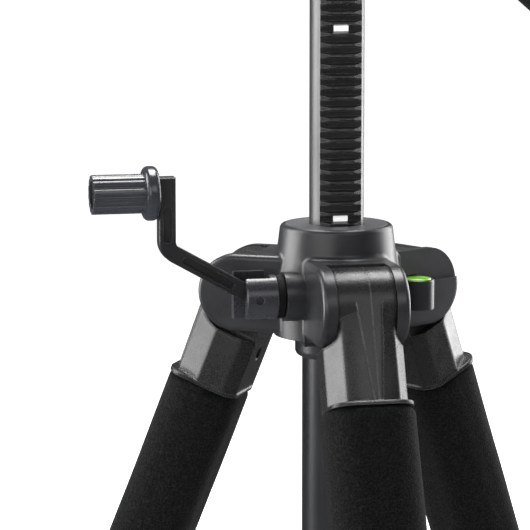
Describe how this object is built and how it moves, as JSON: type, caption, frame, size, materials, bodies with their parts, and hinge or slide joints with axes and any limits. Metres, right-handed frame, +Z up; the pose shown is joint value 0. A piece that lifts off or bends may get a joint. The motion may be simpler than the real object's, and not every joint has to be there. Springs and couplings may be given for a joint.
{
  "type": "scope tripod",
  "caption": "Folding tripod with a crank-geared centre column, braced telescopic legs with foam grips, and a pan and tilt head for a spotting scope.",
  "frame": {"origin": "centre of the quick-release plate's top face, where the scope screw comes out", "axes": "+Z up along the centre column and the scope screw; -Y towards leg 1; -X towards the crank; +X towards the pan handle"},
  "size_m": [0.4194, 0.3653, 0.7252],
  "materials": {
    "shoulder_plastic": "fine moulded texture",
    "column_metal": "dark anodised, brushed",
    "rack_plastic": "satin",
    "outer_tube_metal": "dark satin paint",
    "hub_metal": "satin paint",
    "knuckle_metal": "metallic paint",
    "leg_metal": "satin paint",
    "foam": "closed-cell foam",
    "lock_plastic": "fine moulded texture",
    "knob_plastic": "semi-gloss",
    "black_rubber": "matt",
    "steel": "machined",
    "level_green": "clear tinted"
  },
  "bodies": {
    "shoulder": {"shoulder_casting": "shoulder_plastic", "column_cap": "shoulder_plastic", "outer_tube": "outer_tube_metal", "tube_end_cap": "lock_plastic", "leg_hinge_pins": "steel", "level_housing": "shoulder_plastic", "level_vial": "level_green"},
    "column": {"column_tube": "column_metal", "gear_rack": "rack_plastic", "head_base": "shoulder_plastic"},
    "crank": {"pinion_shaft": "steel", "friction_ring": "black_rubber", "crank_hub": "hub_metal", "crank_pin": "hub_metal"},
    "crank_arm": {"crank_arm": "lock_plastic", "knob_axle": "steel"},
    "crank_knob": {"crank_knob": "knob_plastic"},
    "brace_hub": {"brace_hub": "lock_plastic"},
    "pan": {"pan_body": "shoulder_plastic"},
    "pan_knob": {"pan_knob": "lock_plastic"},
    "tilt": {"tilt_body": "shoulder_plastic", "handle_socket": "shoulder_plastic", "quick_plate": "lock_plastic", "plate_screw": "steel"},
    "release_lever": {"release_lever": "lock_plastic"},
    "handle": {"handle_rod": "leg_metal", "handle_grip": "foam"},
    "leg_1": {"leg_1_knuckle": "knuckle_metal", "leg_1_upper_tube": "leg_metal", "leg_1_foam_grip": "foam", "leg_1_upper_lock": "lock_plastic"},
    "leg_1_middle": {"leg_1_middle_tube": "leg_metal", "leg_1_lower_lock": "lock_plastic"},
    "leg_1_lower": {"leg_1_lower_tube": "leg_metal", "leg_1_foot": "black_rubber"},
    "leg_1_upper_lever": {"leg_1_upper_lever": "lock_plastic"},
    "leg_1_lower_lever": {"leg_1_lower_lever": "lock_plastic"},
    "leg_1_strut": {"leg_1_strut": "leg_metal"},
    "leg_2": {"leg_2_knuckle": "knuckle_metal", "leg_2_upper_tube": "leg_metal", "leg_2_foam_grip": "foam", "leg_2_upper_lock": "lock_plastic"},
    "leg_2_middle": {"leg_2_middle_tube": "leg_metal", "leg_2_lower_lock": "lock_plastic"},
    "leg_2_lower": {"leg_2_lower_tube": "leg_metal", "leg_2_foot": "black_rubber"},
    "leg_2_upper_lever": {"leg_2_upper_lever": "lock_plastic"},
    "leg_2_lower_lever": {"leg_2_lower_lever": "lock_plastic"},
    "leg_2_strut": {"leg_2_strut": "leg_metal"},
    "leg_3": {"leg_3_knuckle": "knuckle_metal", "leg_3_upper_tube": "leg_metal", "leg_3_foam_grip": "foam", "leg_3_upper_lock": "lock_plastic"},
    "leg_3_middle": {"leg_3_middle_tube": "leg_metal", "leg_3_lower_lock": "lock_plastic"},
    "leg_3_lower": {"leg_3_lower_tube": "leg_metal", "leg_3_foot": "black_rubber"},
    "leg_3_upper_lever": {"leg_3_upper_lever": "lock_plastic"},
    "leg_3_lower_lever": {"leg_3_lower_lever": "lock_plastic"},
    "leg_3_strut": {"leg_3_strut": "leg_metal"}
  },
  "joints": [
    {"name": "column_lift", "type": "slide", "parent": "shoulder", "child": "column", "axis": [0, 0, 1], "range_m": [-0.1131, 0.1131]},
    {"name": "crank_turn", "type": "hinge", "parent": "shoulder", "child": "crank", "pos_m": [0, -0.0153, -0.254], "axis": [1, 0, 0], "range_deg": [-1081, 1081]},
    {"name": "crank_fold", "type": "hinge", "parent": "crank", "child": "crank_arm", "pos_m": [-0.0403, -0.0153, -0.254], "axis": [0, -1, 0], "range_deg": [0, 100]},
    {"name": "knob_spin", "type": "hinge", "parent": "crank_arm", "child": "crank_knob", "pos_m": [-0.1, -0.0153, -0.2063], "axis": [1, 0, 0], "continuous": true},
    {"name": "pan_turn", "type": "hinge", "parent": "column", "child": "pan", "pos_m": [0, 0, -0.07], "axis": [0, 0, 1], "continuous": true},
    {"name": "pan_lock", "type": "hinge", "parent": "pan", "child": "pan_knob", "pos_m": [-0.03, 0, -0.072], "axis": [1, 0, 0], "range_deg": [0, 270]},
    {"name": "tilt_turn", "type": "hinge", "parent": "pan", "child": "tilt", "pos_m": [0, 0, -0.032], "axis": [0, 1, 0], "range_deg": [-80, 25]},
    {"name": "plate_release", "type": "hinge", "parent": "tilt", "child": "release_lever", "pos_m": [0.0295, -0.01, -0.012], "axis": [0, 0, -1], "range_deg": [0, 60]},
    {"name": "handle_twist", "type": "hinge", "parent": "tilt", "child": "handle", "pos_m": [0, 0.0275, -0.032], "axis": [0.7593, 0, -0.6508], "range_deg": [0, 90]},
    {"name": "brace_slide", "type": "slide", "parent": "shoulder", "child": "brace_hub", "axis": [0, 0, 1], "range_m": [0, 0.0283]},
    {"name": "leg_1_spread", "type": "hinge", "parent": "shoulder", "child": "leg_1", "pos_m": [0, -0.042, -0.254], "axis": [1, 0, 0], "range_deg": [0, 21.5]},
    {"name": "leg_1_middle_slide", "type": "slide", "parent": "leg_1", "child": "leg_1_middle", "axis": [0, -0.3665, -0.9304], "range_m": [0, 0.28]},
    {"name": "leg_1_lower_slide", "type": "slide", "parent": "leg_1_middle", "child": "leg_1_lower", "axis": [0, -0.3665, -0.9304], "range_m": [0, 0.31]},
    {"name": "leg_1_upper_lock_flip", "type": "hinge", "parent": "leg_1", "child": "leg_1_upper_lever", "pos_m": [0, -0.20641, -0.61271], "axis": [-1, 0, 0], "range_deg": [0, 110]},
    {"name": "leg_1_lower_lock_flip", "type": "hinge", "parent": "leg_1_middle", "child": "leg_1_lower_lever", "pos_m": [0, -0.22177, -0.65717], "axis": [-1, 0, 0], "range_deg": [0, 110]},
    {"name": "leg_1_strut_swing", "type": "hinge", "parent": "brace_hub", "child": "leg_1_strut", "pos_m": [0, -0.021, -0.43178], "axis": [1, 0, 0], "range_deg": [0, 36.1]},
    {"name": "leg_2_spread", "type": "hinge", "parent": "shoulder", "child": "leg_2", "pos_m": [0.03637, 0.021, -0.254], "axis": [-0.5, 0.866, 0], "range_deg": [0, 21.5]},
    {"name": "leg_2_middle_slide", "type": "slide", "parent": "leg_2", "child": "leg_2_middle", "axis": [0.3174, 0.1833, -0.9304], "range_m": [0, 0.28]},
    {"name": "leg_2_lower_slide", "type": "slide", "parent": "leg_2_middle", "child": "leg_2_lower", "axis": [0.3174, 0.1833, -0.9304], "range_m": [0, 0.31]},
    {"name": "leg_2_upper_lock_flip", "type": "hinge", "parent": "leg_2", "child": "leg_2_upper_lever", "pos_m": [0.17875, 0.1032, -0.61271], "axis": [0.5, -0.866, 0], "range_deg": [0, 110]},
    {"name": "leg_2_lower_lock_flip", "type": "hinge", "parent": "leg_2_middle", "child": "leg_2_lower_lever", "pos_m": [0.19206, 0.11088, -0.65717], "axis": [0.5, -0.866, 0], "range_deg": [0, 110]},
    {"name": "leg_2_strut_swing", "type": "hinge", "parent": "brace_hub", "child": "leg_2_strut", "pos_m": [0.01819, 0.0105, -0.43178], "axis": [-0.5, 0.866, 0], "range_deg": [0, 36.1]},
    {"name": "leg_3_spread", "type": "hinge", "parent": "shoulder", "child": "leg_3", "pos_m": [-0.03637, 0.021, -0.254], "axis": [-0.5, -0.866, 0], "range_deg": [0, 21.5]},
    {"name": "leg_3_middle_slide", "type": "slide", "parent": "leg_3", "child": "leg_3_middle", "axis": [-0.3174, 0.1833, -0.9304], "range_m": [0, 0.28]},
    {"name": "leg_3_lower_slide", "type": "slide", "parent": "leg_3_middle", "child": "leg_3_lower", "axis": [-0.3174, 0.1833, -0.9304], "range_m": [0, 0.31]},
    {"name": "leg_3_upper_lock_flip", "type": "hinge", "parent": "leg_3", "child": "leg_3_upper_lever", "pos_m": [-0.17875, 0.1032, -0.61271], "axis": [0.5, 0.866, 0], "range_deg": [0, 110]},
    {"name": "leg_3_lower_lock_flip", "type": "hinge", "parent": "leg_3_middle", "child": "leg_3_lower_lever", "pos_m": [-0.19206, 0.11088, -0.65717], "axis": [0.5, 0.866, 0], "range_deg": [0, 110]},
    {"name": "leg_3_strut_swing", "type": "hinge", "parent": "brace_hub", "child": "leg_3_strut", "pos_m": [-0.01819, 0.0105, -0.43178], "axis": [-0.5, -0.866, 0], "range_deg": [0, 36.1]}
  ],
  "couplings": [
    {"joint": "crank_turn", "follows": "column_lift", "rad_per_m": 166.67},
    {"joint": "brace_slide", "follows": "leg_1_spread", "m_per_rad": 0.075071},
    {"joint": "leg_1_strut_swing", "follows": "leg_1_spread", "ratio": 1.6744},
    {"joint": "leg_2_spread", "follows": "leg_1_spread", "ratio": 1},
    {"joint": "leg_2_strut_swing", "follows": "leg_1_spread", "ratio": 1.6744},
    {"joint": "leg_3_spread", "follows": "leg_1_spread", "ratio": 1},
    {"joint": "leg_3_strut_swing", "follows": "leg_1_spread", "ratio": 1.6744}
  ]
}
